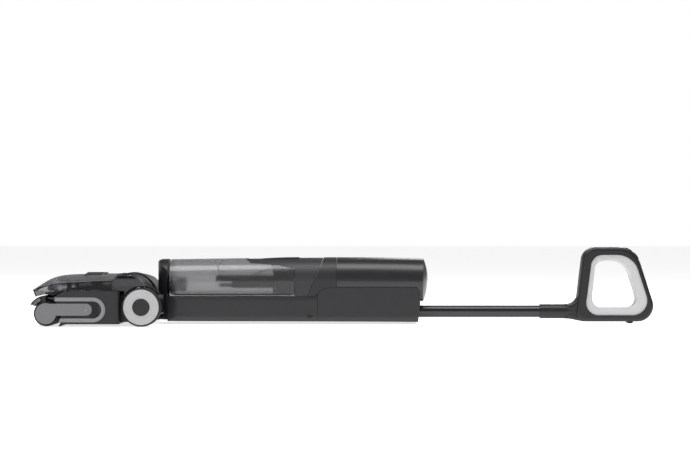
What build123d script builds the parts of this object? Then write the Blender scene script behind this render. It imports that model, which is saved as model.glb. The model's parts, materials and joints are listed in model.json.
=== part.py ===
from build123d import *
import os
from math import cos, sin, radians

# Wet dry floor scrubber, lying flat on the floor with its handle stretched out behind it.
# +X runs from the floor head to the handle, +Y to the machine's right, +Z up, Z = 0 is the floor.

# ---------------------------------------------------------------- driving dimensions (mm)
FIT = 0.05                                   # radial clearance of a running fit
GAP = 0.5                                    # seam between two casings

HEAD_FRONT, HEAD_SEAM = -620.8, -464.2       # the clear window runs between these
HEAD_HALF = 124.0                            # half width of the floor head
CHASSIS_TOP, CHASSIS_BOTTOM = 70.0, 5.0
ROLLER_X, ROLLER_Z, ROLLER_R = -594.0, 26.0, 26.0
ROLLER_HALF = 118.0                          # half length of the cleaning roller
CORE_R, CORE_BORE = 19.0, 16.5
BAY_R = 30.0                                 # hollow that the roller turns in
ARM_IN, ARM_OUT = 120.5, 124.0               # side arms, measured from the middle
WHEEL_X, WHEEL_R = -406.3, 38.5
WHEEL_IN, WHEEL_OUT = 103.0, 125.0
AXLE_R = 5.0
PIVOT_X, PIVOT_Z = -443.0, 50.0              # axis that the body reclines about
SHROUD_R = 52.5
STEER_X = -343.0                             # axis that the body swings left and right about

BODY_FRONT, COLLAR_REAR, CASING_FRONT = -387.0, -364.5, -364.0
BODY_HALF = 50.0
TANK_FRONT, TANK_END = -359.5, -107.0
TANK_FLOOR = 57.3
CASING_TOP = 56.8
CLEAN_FRONT, CLEAN_TOP = -59.7, 74.7
COVER_FRONT, COVER_END = -21.6, 164.4
COVER_SEAM = 75.2
DOME_R = 112.0

ROD_R, ROD_Z = 12.2, 24.0
ROD_START, ROD_END = -38.0, 430.0
SOCKET_X = 394.2
HANDLE_HALF = 19.0

EAR_BOSS_R, SPIGOT_R = 8.0, 6.0
TRIM_LENGTH, TRIM_HEIGHT, TRIM_Z = 164.0, 48.8, 33.4
TRIM_X = -476.8 - TRIM_LENGTH / 2
ARM_Z = 33.9
TYRE_BORE, CAP_R = 35.0, 17.0
LATCH_X, LATCH_LENGTH, LATCH_HALF = -513.0, 38.0, 46.0
NECK_HALF, SLOT_HALF = 17.5, 18.8
PIN_R, STEER_PIN_R = 7.0, 5.0
EYE_BOTTOM, EYE_TOP = 22.0, 44.0
INLET_Z, INLET_R = 80.0, 15.0
BUTTON_X, BUTTON_Z = -76.6, 17.2
LENS_Z, LENS_R = 89.0, 31.0
FAN_Z, SHAFT_R = 104.5, 2.5
POD_X, POD_Z, POD_HALF = 551.6, 105.5, 11.0
BUTTON_ARCS = [(33.5, 49), (53.5, 69.5)]     # degrees round the loop's outer corner

# X, top and bottom of the body at four places along it
BODY_STATIONS = [(-388.0, 131.0, 6.0), (-216.0, 133.6, 5.4), (-36.0, 134.8, 5.0), (166.0, 132.2, 4.0)]
FAR = 160.0                                  # reaches past every side of the machine

os.makedirs("parts", exist_ok=True)


def save(part, label):
    """Name a finished piece and write its STEP file."""
    part.label = label
    export_step(part, f"parts/{label}.step")


def side_prism(points, half=FAR):
    """A side outline in X and Z, carried to the same distance left and right."""
    with BuildPart() as prism:
        with BuildSketch(Plane.XZ):
            with BuildLine():
                Polyline(*points, close=True)
            make_face()
        extrude(amount=half, both=True)
    return prism.part


def block(x0, x1, y0, y1, z0, z1):
    """A plain block between two corners."""
    with BuildPart() as made:
        with BuildSketch(Plane.XY.offset(z0)):
            with Locations(((x0 + x1) / 2, (y0 + y1) / 2)):
                Rectangle(x1 - x0, y1 - y0)
        extrude(amount=z1 - z0)
    return made.part


def rod_y(x, z, radius, y0, y1, bore=0.0):
    """A round bar or tube across the machine."""
    with BuildPart() as made:
        with BuildSketch(Plane.XZ.offset(-y0)):
            with Locations((x, z)):
                Circle(radius)
                if bore:
                    Circle(bore, mode=Mode.SUBTRACT)
        extrude(amount=-(y1 - y0))
    return made.part


def rod_x(y, z, radius, x0, x1, bore=0.0):
    """A round bar or tube along the machine."""
    with BuildPart() as made:
        with BuildSketch(Plane.YZ.offset(x0)):
            with Locations((y, z)):
                Circle(radius)
                if bore:
                    Circle(bore, mode=Mode.SUBTRACT)
        extrude(amount=x1 - x0)
    return made.part


def body_form(inset):
    """The body's outer form, drawn in by inset on every side."""
    half = BODY_HALF - inset
    with BuildPart() as form:
        for x, top, bottom in BODY_STATIONS:
            with BuildSketch(Plane.YZ.offset(x)) as section:
                height = top - bottom - 2 * inset
                with Locations((0, (top + bottom) / 2)):
                    Rectangle(2 * half, height)
                fillet(section.vertices().group_by(Axis.Y)[-1], half - 3)
                fillet(section.vertices().group_by(Axis.Y)[0], 12 - inset)
        loft()
        with BuildSketch(Plane.XY) as plan:
            with Locations(((BODY_FRONT + inset + 166) / 2, 0)):
                Rectangle(166 - BODY_FRONT - inset, 2 * half)
            fillet(plan.vertices().group_by(Axis.X)[0], half - 4)
        extrude(amount=FAR, mode=Mode.INTERSECT)
    return form.part


def casing(inset, wall, outline, cavity):
    """A casing: the body's form cut to a side outline and hollowed to a smaller one."""
    with BuildPart() as core:
        add(body_form(inset + wall))
        add(side_prism(cavity), mode=Mode.INTERSECT)
    with BuildPart() as shell:
        add(body_form(inset))
        add(side_prism(outline), mode=Mode.INTERSECT)
        add(core.part, mode=Mode.SUBTRACT)
    return shell.part


# ================================================================ floor head
def head_chassis():
    """Tray with two side pods, the roller bay in front and the pivot cheeks behind."""
    with BuildPart() as chassis:
        add(side_prism([(-566, 9), (-560, CHASSIS_BOTTOM), (-449.5, CHASSIS_BOTTOM), (-449.5, CHASSIS_TOP),
                        (-558, CHASSIS_TOP), (-579, 58), (-590, 58), (-590, 9)], HEAD_HALF))
        fillet(chassis.edges().filter_by(Axis.Z).group_by(Axis.X)[-1], 7)
        add(rod_y(ROLLER_X, ROLLER_Z, BAY_R, -FAR, FAR), mode=Mode.SUBTRACT)
        add(block(-545, -440, -113, 113, 8, 90), mode=Mode.SUBTRACT)
        add(block(-575, -540, -48, 48, 12, 34), mode=Mode.SUBTRACT)
        for side in (-1, 1):
            with BuildSketch(Plane.XZ.offset(-side * HEAD_HALF)):
                with Locations((TRIM_X, TRIM_Z)):
                    SlotOverall(TRIM_LENGTH, TRIM_HEIGHT)
            extrude(amount=side * (ARM_OUT - ARM_IN), mode=Mode.SUBTRACT)
        add(block(-470, -396, -98, 98, 8, 11))
        for side in (-1, 1):
            add(block(-470, -396, side * 96.5 - 1.5, side * 96.5 + 1.5, 8, 60))
            add(rod_y(WHEEL_X, WHEEL_R, 9, side * 89 - 9, side * 89 + 9))
            add(rod_y(WHEEL_X, WHEEL_R, AXLE_R, side * 89 - 20, side * 89 + 20), mode=Mode.SUBTRACT)
            with BuildSketch(Plane.XZ.offset(-side * 23 - 3)):
                with BuildLine():
                    Polyline((-475, 10), (-411, 10), (-427, 62), (-459, 62), close=True)
                make_face()
            extrude(amount=6)
        add(rod_y(PIVOT_X, PIVOT_Z, PIN_R, -FAR, FAR), mode=Mode.SUBTRACT)
    return chassis.part


def inner_deck():
    """Dark lid of the tray, curving down over the roller under the clear window."""
    with BuildPart() as deck:
        with BuildSketch(Plane.XZ):
            with Locations((ROLLER_X, ROLLER_Z)):
                Circle(40.5)
                Circle(37.2, mode=Mode.SUBTRACT)
            with BuildLine():
                Polyline((ROLLER_X, ROLLER_Z), (-597, 70), (-586, 72), (-578, 66), close=True)
            make_face(mode=Mode.INTERSECT)
            with BuildLine():
                Polyline((-466, 70.3), (-466, 72.5), (-562, 72.5), (-579, 65), (-577.5, 62.4),
                         (-561.5, 70.3), close=True)
            make_face()
        extrude(amount=112, both=True)
        with Locations(*[Location((x, 0, 72.5)) for x in (-545, -530, -500, -487)]):
            Box(3, 190, 5)
    return deck.part


def spray_bar():
    """Clean-water bar close under the window's crown, on two posts, with a row of nozzles."""
    with BuildPart() as bar:
        with BuildSketch(Plane.XZ):
            with Locations((-569, 88.6)):
                RectangleRounded(25, 7, 2.5)
        extrude(amount=56, both=True)
        for y in (-44, 44):
            add(block(-566, -558, y - 4, y + 4, 72.5, 87))
        with Locations((-576, 0, 85)):
            with GridLocations(1, 14, 1, 8):
                Cylinder(1.6, 6)
    return bar.part


def head_rear_cover():
    """Arched cover over the pivot and the wheels, open in the middle for the neck."""
    with BuildPart() as hollow:
        with BuildSketch(Plane.XZ):
            with BuildLine():
                Polyline((-393.6, 20), (-470, 20), (-470, 72), (-461, 72), (-461, 98.8),
                         (PIVOT_X, PIVOT_Z + SHROUD_R - 2.6))
                CenterArc((PIVOT_X, PIVOT_Z), SHROUD_R - 2.6, 90, -90)
                Line((PIVOT_X + SHROUD_R - 2.6, PIVOT_Z), (-393.6, 20))
            make_face()
        extrude(amount=98.3, both=True)
    with BuildPart() as cover:
        with BuildSketch(Plane.XZ):
            with BuildLine():
                Polyline((-391.5, 30), (-463.7, 30), (-463.7, 101.8), (PIVOT_X, PIVOT_Z + SHROUD_R))
                CenterArc((PIVOT_X, PIVOT_Z), SHROUD_R, 90, -90)
                Line((PIVOT_X + SHROUD_R, PIVOT_Z), (-391.5, 30))
            make_face()
        extrude(amount=118.5, both=True)
        with BuildSketch(Plane.YZ):
            with BuildLine():
                Polyline((-112, 91.5), (-118.5, 80), (-118.5, 20), (118.5, 20), (118.5, 80), (112, 91.5))
                ThreePointArc((112, 91.5), (0, 102.6), (-112, 91.5))
            make_face()
        extrude(amount=-500, mode=Mode.INTERSECT)
        add(hollow.part, mode=Mode.SUBTRACT)
        for side in (-1, 1):
            add(rod_y(WHEEL_X, WHEEL_R, 41.5, side * 110 - 11.8, side * 110 + 11.8), mode=Mode.SUBTRACT)
            add(block(-470, -440, side * 109 - 10.7, side * 109 + 10.7, 20, 70.4), mode=Mode.SUBTRACT)
        add(block(-458, -380, -45, 45, 20, 110), mode=Mode.SUBTRACT)
    return cover.part


def neck_shroud():
    """Dark curved guard either side of the neck's slot, round the recline axis."""
    with BuildPart() as shroud:
        with BuildSketch(Plane.XZ):
            with Locations((PIVOT_X, PIVOT_Z)):
                Circle(SHROUD_R + 0.6)
                Circle(SHROUD_R - 2.4, mode=Mode.SUBTRACT)
            with BuildLine():
                Polyline((PIVOT_X, PIVOT_Z), (-457.5, 110), (-380, 110), (-380, 33), close=True)
            make_face(mode=Mode.INTERSECT)
        extrude(amount=44.6, both=True)
        add(block(-452.6, -380, -SLOT_HALF, SLOT_HALF, 0, 120), mode=Mode.SUBTRACT)
    return shroud.part


def side_trims():
    """Light U-shaped bands round the side recesses, one each side."""
    with BuildPart() as trims:
        for side in (-1, 1):
            with BuildSketch(Plane.XZ.offset(-side * ARM_IN)):
                with Locations((TRIM_X, TRIM_Z)):
                    SlotOverall(TRIM_LENGTH - 0.2, TRIM_HEIGHT - 0.2)
                    SlotOverall(TRIM_LENGTH - 15, TRIM_HEIGHT - 15, mode=Mode.SUBTRACT)
                with Locations((-626, TRIM_Z)):
                    Rectangle(100, 60, mode=Mode.SUBTRACT)
                with Locations((ROLLER_X, ROLLER_Z)):
                    Circle(BAY_R, mode=Mode.SUBTRACT)
            extrude(amount=-side * 4.1)
    return trims.part


def vent_grilles():
    """Cross-hatched vents at the back of the side recesses."""
    with BuildPart() as grilles:
        for side in (-1, 1):
            with BuildSketch(Plane.XZ.offset(-side * ARM_IN)):
                for slant in (45, -45):
                    with Locations(Location((-498, TRIM_Z), slant)):
                        with GridLocations(3.6, 1, 12, 1):
                            Rectangle(1.3, 60)
                with Locations((-499, TRIM_Z)):
                    Rectangle(14, 27, mode=Mode.INTERSECT)
                with Locations((-545, ARM_Z)):
                    SlotOverall(86, 25.6, mode=Mode.SUBTRACT)
            extrude(amount=-side * 1.6)
    return grilles.part


def side_arm(side, bore, depth):
    """Key-shaped plate that carries one end of the roller on a short boss."""
    with BuildPart() as arm:
        with BuildSketch(Plane.XZ.offset(-side * ARM_IN)):
            with Locations((ROLLER_X, ROLLER_Z)):
                Circle(20.6)
            with Locations((-548.5, ARM_Z)):
                SlotOverall(91, 23.6)
        extrude(amount=-side * (ARM_OUT - ARM_IN))
        with BuildSketch(Plane.XZ.offset(-side * ARM_IN)):
            with Locations((ROLLER_X, ROLLER_Z)):
                Circle(EAR_BOSS_R)
        extrude(amount=side * 2.1)
        with BuildSketch(Plane.XZ.offset(-side * (ARM_IN - 2.1))):
            with Locations((ROLLER_X, ROLLER_Z)):
                Circle(bore)
        extrude(amount=-side * depth, mode=Mode.SUBTRACT)
    return arm.part


def side_arms():
    """The two side plates: the left one grips the motor's spigot, the right one carries the stub."""
    with BuildPart() as arms:
        add(side_arm(-1, SPIGOT_R, 3.5))
        add(side_arm(1, 4 + FIT, 3.9))
    return arms.part


def squeegee():
    """Rubber lip behind the roller, its edge on the floor."""
    return side_prism([(-571, 0), (-568.2, 0), (-562, 6.1), (-566.2, 8.9)], 112)


def steel_pins():
    """Two stub axles and the pin that the neck reclines on."""
    with BuildPart() as axles:
        for side in (-1, 1):
            add(rod_y(WHEEL_X, WHEEL_R, AXLE_R, side * 102.5 - 20.5, side * 102.5 + 20.5))
        add(rod_y(PIVOT_X, PIVOT_Z, PIN_R, -26, 26))
    return axles.part


def roller_motor():
    """Geared motor that sits inside the roller, held by the left arm."""
    with BuildPart() as motor:
        add(rod_y(ROLLER_X, ROLLER_Z, 15, -108, 10))
        fillet(motor.edges().filter_by(GeomType.CIRCLE), 1.5)
        add(rod_y(ROLLER_X, ROLLER_Z, SPIGOT_R, -ARM_IN - 1.3, -107))
        add(rod_y(ROLLER_X, ROLLER_Z, 3, 9, 17))
    return motor.part


# ---------------------------------------------------------------- window and its latch
WINDOW_STATIONS = [(-620.6, 78.0, 73.0), (-594, 95.2, 81.6), (-566, 99.5, 85.6), (-530, 100.7, 88.0),
                   (-497, 101.3, 89.6), (HEAD_SEAM, 101.8, 91.0)]


def window_form(inset):
    """Crowned outer form of the clear window, drawn in by inset."""
    with BuildPart() as form:
        for x, crown, crease in WINDOW_STATIONS:
            shift = inset if x < -600 else 0.0
            with BuildSketch(Plane.YZ.offset(x + shift)):
                with BuildLine():
                    side = 112 - inset
                    foot = 119.3 - inset
                    Polyline((side, crease - inset), (foot, 70.8 - inset), (-foot, 70.8 - inset),
                             (-side, crease - inset))
                    ThreePointArc((-side, crease - inset), (0, crown - inset), (side, crease - inset))
                make_face()
        loft()
    return form.part


def brush_window():
    """Smoky clear cover over the roller, with a lip that drops in front of it."""
    with BuildPart() as window:
        add(window_form(0))
        add(window_form(2.4), mode=Mode.SUBTRACT)
        add(side_prism([(-620.6, 73), (-619.6, 66), (-616.2, 58.6), (-613.9, 59.9), (-617, 66.5),
                        (-618, 73)], 111))
        with BuildSketch(Plane.XY.offset(88)):
            with Locations((LATCH_X, 0)):
                RectangleRounded(LATCH_LENGTH + 0.8, 2 * LATCH_HALF + 0.8, 5.2)
        extrude(amount=20, mode=Mode.SUBTRACT)
    return window.part


def latch_pan():
    """Shallow pan under the latch, part of the dark frame, with a finger scoop at each end."""
    with BuildPart() as pan:
        with BuildSketch(Plane.XY.offset(86.6)):
            with Locations((LATCH_X, 0)):
                RectangleRounded(LATCH_LENGTH - 1, 2 * LATCH_HALF - 1, 5)
        extrude(amount=1.6)
        for y in (-25, 25):
            add(block(LATCH_X - 6, LATCH_X + 6, y - 6, y + 6, 75.5, 86.8))
    return pan.part


def window_latch():
    """Wide press bar that lets the window go."""
    with BuildPart() as latch:
        with BuildSketch(Plane.XY.offset(90.6)):
            with Locations((LATCH_X, 0)):
                RectangleRounded(LATCH_LENGTH, 2 * LATCH_HALF, 5)
        extrude(amount=14)
        with BuildSketch(Plane.YZ.offset(LATCH_X - 40)):
            with BuildLine():
                Polyline((-LATCH_HALF - 1, 99.4), (-LATCH_HALF - 1, 80), (LATCH_HALF + 1, 80),
                         (LATCH_HALF + 1, 99.4))
                ThreePointArc((LATCH_HALF + 1, 99.4), (0, 104.4), (-LATCH_HALF - 1, 99.4))
            make_face()
        extrude(amount=80, mode=Mode.INTERSECT)
        chamfer(latch.faces().sort_by(Axis.Z)[-1].edges(), 1.2)
    return latch.part


# ---------------------------------------------------------------- scraper
def scraper_arm():
    """Curved bar round the front of the roller, with an ear at each end on the roller's axis."""
    with BuildPart() as scraper:
        with BuildSketch(Plane.XZ):
            with Locations((ROLLER_X, ROLLER_Z)):
                Circle(35.6)
                Circle(33.2, mode=Mode.SUBTRACT)
            with BuildLine():
                Polyline((ROLLER_X, ROLLER_Z), (-593, 90), (-660, 90), (-660, 64), close=True)
            make_face(mode=Mode.INTERSECT)
        extrude(amount=119.9, both=True)
        for side in (-1, 1):
            with BuildSketch(Plane.XZ.offset(-side * 118.5)):
                with Locations((ROLLER_X, ROLLER_Z)):
                    Circle(34)
                with BuildLine():
                    Polyline((ROLLER_X, ROLLER_Z), (-596, 90), (-616, 90), close=True)
                make_face(mode=Mode.INTERSECT)
                with Locations((ROLLER_X, ROLLER_Z)):
                    Circle(13)
                    Circle(EAR_BOSS_R + FIT, mode=Mode.SUBTRACT)
            extrude(amount=-side * 1.4)
    return scraper.part


def scraper_comb():
    """Row of soft fins behind the scraper bar that comb the fleece."""
    with BuildPart() as comb:
        with BuildSketch(Plane.XZ):
            with Locations((ROLLER_X, ROLLER_Z)):
                with PolarLocations(30.3, 9, start_angle=115, angular_range=36):
                    Rectangle(5.8, 1.5)
        extrude(amount=116, both=True)
        with BuildSketch(Plane.XZ):
            with Locations((ROLLER_X, ROLLER_Z)):
                Circle(33.2)
                Circle(31.9, mode=Mode.SUBTRACT)
            with BuildLine():
                Polyline((ROLLER_X, ROLLER_Z), (-620.5, 90), (-660, 66), close=True)
            make_face(mode=Mode.INTERSECT)
        extrude(amount=116, both=True)
    return comb.part


# ---------------------------------------------------------------- cleaning roller
def roller_fleece():
    """Dense fleece sleeve."""
    with BuildPart() as fleece:
        add(rod_y(ROLLER_X, ROLLER_Z, ROLLER_R, -ROLLER_HALF, ROLLER_HALF, CORE_R))
        fillet(fleece.edges().filter_by(GeomType.CIRCLE).group_by(SortBy.RADIUS)[-1], 3)
    return fleece.part


def roller_hub(side, bore):
    """End plug of the roller's core."""
    inner = side * 109
    outer = side * 117.6
    with BuildPart() as hub:
        add(rod_y(ROLLER_X, ROLLER_Z, CORE_BORE, min(inner, outer), max(inner, outer), bore))
    return hub.part


def roller_axle():
    """Free end of the roller: a stub that turns in the right arm, with its plug."""
    with BuildPart() as axle:
        add(roller_hub(1, 0))
        add(rod_y(ROLLER_X, ROLLER_Z, 4, 117, 122))
    return axle.part


def drive_dog():
    """Disc fixed in the roller's core that the motor's shaft turns."""
    return rod_y(ROLLER_X, ROLLER_Z, CORE_BORE, 11.5, 18.5, 3 + FIT)


def roller_plugs():
    """Both end plugs of the roller and the disc that the motor drives."""
    with BuildPart() as plugs:
        add(roller_hub(-1, SPIGOT_R + FIT))
        add(roller_axle())
        add(drive_dog())
    return plugs.part


# ---------------------------------------------------------------- wheels
def tyre(side):
    """Thin rubber tyre."""
    with BuildPart() as made:
        middle = side * (WHEEL_IN + WHEEL_OUT) / 2
        half = (WHEEL_OUT - WHEEL_IN) / 2 - 0.6
        add(rod_y(WHEEL_X, WHEEL_R, WHEEL_R, middle - half, middle + half, TYRE_BORE))
        fillet(made.edges().filter_by(GeomType.CIRCLE).group_by(SortBy.RADIUS)[-1], 2.2)
    return made.part


def wheel_disc(side):
    """Light moulded wheel with a dished face, spokes behind it and a hub bore."""
    with BuildPart() as disc:
        middle = side * (WHEEL_IN + WHEEL_OUT) / 2
        half = (WHEEL_OUT - WHEEL_IN) / 2
        add(rod_y(WHEEL_X, WHEEL_R, TYRE_BORE, middle - half, middle + half))
        chamfer(disc.edges().filter_by(GeomType.CIRCLE), 1)
        back = side * (WHEEL_IN + 6.5)
        pocket_in = side * (WHEEL_IN - 1)
        add(rod_y(WHEEL_X, WHEEL_R, 31.5, min(pocket_in, back), max(pocket_in, back), 11), mode=Mode.SUBTRACT)
        face = side * (WHEEL_OUT + 1)
        seat = side * (WHEEL_OUT - 1.6)
        add(rod_y(WHEEL_X, WHEEL_R, CAP_R + 0.2, min(face, seat), max(face, seat)), mode=Mode.SUBTRACT)
        add(rod_y(WHEEL_X, WHEEL_R, AXLE_R + FIT, -FAR, FAR), mode=Mode.SUBTRACT)
    return disc.part


def hub_cap(side):
    """Dark dished cap over the end of the axle."""
    with BuildPart() as cap:
        seat = side * (WHEEL_OUT - 1.6)
        face = side * (WHEEL_OUT + 1)
        add(rod_y(WHEEL_X, WHEEL_R, CAP_R, min(seat, face), max(seat, face)))
        chamfer(cap.faces().sort_by(Axis.Y)[0 if side < 0 else -1].edges(), 0.8)
    return cap.part


# ---------------------------------------------------------------- neck
def neck_arm():
    """Swivel arm: a hub on the recline axis and an upright eye for the steering pin."""
    with BuildPart() as arm:
        add(rod_y(PIVOT_X, PIVOT_Z, 19, -NECK_HALF, NECK_HALF))
        add(side_prism([(-440, 69), (-424, 66), (-392, 54), (-368, EYE_TOP), (STEER_X, EYE_TOP),
                        (STEER_X, EYE_BOTTOM), (-372, EYE_BOTTOM), (-398, 25), (-440, 31)], NECK_HALF))
        with BuildSketch(Plane.XY.offset(EYE_BOTTOM)):
            with Locations((STEER_X, 0)):
                Circle(NECK_HALF)
        extrude(amount=EYE_TOP - EYE_BOTTOM)
        add(rod_y(PIVOT_X, PIVOT_Z, PIN_R + FIT, -FAR, FAR), mode=Mode.SUBTRACT)
        with Locations((STEER_X, 0, 40)):
            Cylinder(STEER_PIN_R + FIT, 60, mode=Mode.SUBTRACT)
    return arm.part


# ================================================================ body
def foot_collar():
    """Rounded collar at the body's foot, with a mouth for the neck and the dirty-air outlet."""
    with BuildPart() as hollow:
        add(body_form(3))
        with BuildSketch(Plane.XZ):
            with Locations((-373, 35)):
                Rectangle(26, 44)
            with Locations((-375.8, 93)):
                Rectangle(16.6, 60)
        extrude(amount=FAR, both=True, mode=Mode.INTERSECT)
    with BuildPart() as collar:
        add(body_form(0))
        with BuildSketch(Plane.XZ) as outline:
            with Locations(((BODY_FRONT + COLLAR_REAR) / 2, 70.5)):
                Rectangle(COLLAR_REAR - BODY_FRONT, 121.8)
            fillet(outline.vertices().group_by(Axis.X)[0].sort_by(Axis.Y)[-1], 11)
        extrude(amount=FAR, both=True, mode=Mode.INTERSECT)
        add(hollow.part, mode=Mode.SUBTRACT)
        add(block(-400, -360, -37, 37, 17, 60), mode=Mode.SUBTRACT)
        add(rod_x(0, INLET_Z, INLET_R, -370, -360), mode=Mode.SUBTRACT)
    return collar.part


def rear_casing():
    """Tub that makes the body's back, open at the top under the dirty tank."""
    with BuildPart() as shell:
        add(casing(0, 3, [(CASING_FRONT, 0), (CASING_FRONT, CASING_TOP), (-65.3, CASING_TOP), (-60.2, 61.6),
                          (-60.2, 0)],
                   [(-361, 0), (-361, 90), (-63.2, 90), (-63.2, 0)]))
        add(block(-370, -355, -37, 37, 17, 60), mode=Mode.SUBTRACT)
        for side in (-1, 1):
            with BuildSketch(Plane.YZ.offset(-400)):
                with BuildLine():
                    Polyline((side * 50.4, 46), (side * 50.4, 60), (side * 48.4, 60), close=True)
                make_face()
            extrude(amount=400, mode=Mode.SUBTRACT)
            with BuildSketch(Plane.XZ.offset(-side * 60)):
                with Locations((BUTTON_X, BUTTON_Z)):
                    Ellipse(5.3, 3.8)
            extrude(amount=side * 20, mode=Mode.SUBTRACT)
    return shell.part


def clean_tank_button():
    """Two small oval release buttons in the rear casing's left side."""
    with BuildPart() as button:
        with BuildSketch(Plane.XZ.offset(49.6)):
            with Locations((BUTTON_X, BUTTON_Z)):
                Ellipse(5.0, 3.5)
        extrude(amount=-4)
        with BuildSketch(Plane.XZ.offset(45.5)):
            with Locations((BUTTON_X, BUTTON_Z)):
                Ellipse(6.4, 4.9)
        extrude(amount=-1.4)
    return button.part


def tank_cradle():
    """Floor plate that the dirty tank rests on."""
    with BuildPart() as cradle:
        add(body_form(3.2))
        add(block(-360.8, -63.6, -60, 60, 53.8, CASING_TOP), mode=Mode.INTERSECT)
    return cradle.part


def steer_bracket():
    """Steel fork in the body's foot with the upright pin that the neck turns on."""
    with BuildPart() as bracket:
        add(block(-356, -315, -14, 14, 9.2, EYE_BOTTOM - 0.5))
        add(block(-356, -315, -14, 14, EYE_TOP + 0.5, 52))
        add(block(-321, -315, -14, 14, 9.2, 52))
        with Locations((STEER_X, 0, 31.5)):
            Cylinder(STEER_PIN_R, 42)
    return bracket.part


def water_pump():
    """Small pump that feeds the spray bar."""
    with BuildPart() as pump:
        add(rod_x(20, 28, 13, -122, -88))
        add(rod_x(20, 28, 9, -88, -70))
        add(rod_x(20, 28, 3, -150, -122))
        fillet(pump.edges().filter_by(GeomType.CIRCLE).group_by(SortBy.RADIUS)[-1], 1.2)
    return pump.part


def dock_casing():
    """Casing that the dirty tank's lid docks against."""
    with BuildPart() as dock:
        add(casing(0, 3, [(-80.3, TANK_FLOOR), (-53.3, 121.6), (-45.5, 140), (-22.1, 140), (-22.1, COVER_SEAM),
                          (-36, 74.6), (-53, 69.5), (-65.3, TANK_FLOOR)],
                   [(-75.6, 60.2), (-50.0, 121.6), (-42, 140), (-10, 140), (-10, 78.2), (-37, 77.6),
                    (-55, 72.4), (-67.2, 60.2)]))
        add(rod_x(0, 98, 20, -90, -40), mode=Mode.SUBTRACT)
    return dock.part


def barrel(inset):
    """Round-bottomed form of the motor cover with its shallow domed end."""
    with BuildPart() as form:
        add(body_form(inset))
        with BuildSketch(Plane.YZ.offset(COVER_FRONT)) as section:
            with Locations((0, (45 + inset + 160) / 2)):
                Rectangle(2 * (BODY_HALF - inset), 160 - 45 - inset)
            fillet(section.vertices().group_by(Axis.Y)[0], 42 - inset)
        extrude(amount=250, mode=Mode.INTERSECT)
        with Locations((COVER_END - DOME_R, 0, LENS_Z)):
            Sphere(DOME_R - inset, mode=Mode.INTERSECT)
    return form.part


def lens_slice(skin, radius, proud):
    """Round slice of the domed end: a shallow bowl skin deep."""
    with BuildPart() as bowl:
        with BuildSketch(Plane.XZ):
            with Locations((COVER_END - DOME_R, LENS_Z)):
                Circle(DOME_R + proud)
                Circle(DOME_R - skin, mode=Mode.SUBTRACT)
            with Locations((COVER_END, LENS_Z + radius / 2)):
                Rectangle(40, radius, mode=Mode.INTERSECT)
        revolve(axis=Axis((0, 0, LENS_Z), (1, 0, 0)))
    return bowl.part


def motor_cover():
    """Barrel-shaped cover over the suction motor and the battery."""
    with BuildPart() as hollow:
        add(barrel(3))
        add(side_prism([(138, 78.2), (142.8, 76.9), (146.4, 71), (151, 40), (138, 40)]), mode=Mode.SUBTRACT)
    with BuildPart() as cover:
        add(barrel(0))
        add(hollow.part, mode=Mode.SUBTRACT)
        add(block(-40, COVER_FRONT, -FAR, FAR, 0, 200), mode=Mode.SUBTRACT)
        add(side_prism([(-40, 0), (-40, COVER_SEAM), (137.2, COVER_SEAM), (141, 73.8), (143, 70), (147.6, 44),
                        (147.6, 0)]), mode=Mode.SUBTRACT)
        add(lens_slice(2.2, LENS_R + 0.3, 1), mode=Mode.SUBTRACT)
    return cover.part


def end_plate():
    """Plate that closes the body's end round the rod."""
    with BuildPart() as plate:
        add(block(134.2, 139.4, -17.4, 17.4, 8.6, 66))
        fillet(plate.edges().filter_by(Axis.X), 3)
    return plate.part


def mid_frame():
    """Floor of the motor bay, with the rib and sleeve that hold the handle's rod."""
    with BuildPart() as frame:
        add(body_form(3.3))
        add(block(-21, 136, -44.9, 44.9, COVER_SEAM, 78), mode=Mode.INTERSECT)
        add(block(-20, 134, -3, 3, 36, 75.5))
        add(rod_x(0, ROD_Z, 15.4, -40, 136))
        add(end_plate())
        add(rod_x(0, ROD_Z, ROD_R, -38, 140), mode=Mode.SUBTRACT)
    return frame.part


def suction_motor():
    """Fan housing with the motor can inside it."""
    with BuildPart() as motor:
        add(rod_x(0, FAN_Z, 24.4, -8, 54, 22))
        add(rod_x(0, FAN_Z, 23, 48, 54))
        add(rod_x(0, FAN_Z, 16, 14, 50))
        add(rod_x(0, FAN_Z, 23, -8, -5.5, 12))
        add(rod_x(0, FAN_Z, SHAFT_R + FIT, 10, 32), mode=Mode.SUBTRACT)
    return motor.part


def impeller():
    """Suction fan: a disc with backward blades on the motor's shaft."""
    with BuildPart() as fan:
        add(rod_x(0, FAN_Z, 20.5, 3, 5.5))
        add(rod_x(0, FAN_Z, 5, -3.5, 10))
        add(rod_x(0, FAN_Z, SHAFT_R, 9, 30))
        with BuildSketch(Plane.YZ.offset(-3)):
            with Locations((0, FAN_Z)):
                with PolarLocations(12.4, 9):
                    Rectangle(15.6, 1.1, rotation=24)
        extrude(amount=6.5)
    return fan.part


def air_filter():
    """Pleated filter cartridge in front of the fan."""
    with BuildPart() as cartridge:
        add(rod_x(0, 101, 21.4, -40, -24, 8))
        with BuildSketch(Plane.YZ.offset(-38)):
            with Locations((0, 101)):
                with PolarLocations(21, 30):
                    Rectangle(6, 2.2)
        extrude(amount=12, mode=Mode.SUBTRACT)
    return cartridge.part


def battery_cells():
    """Seven cylindrical cells in two layers."""
    with BuildPart() as cells:
        for y, z in ((-33, 92), (-11, 92), (11, 92), (33, 92), (-22, 111.2), (0, 111.2), (22, 111.2)):
            add(rod_x(y, z, 10.4, 64, 134))
    return cells.part


def control_board():
    """Circuit board under the fan."""
    return block(-17, 56, -30, 30, 78.2, 79.8)


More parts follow.
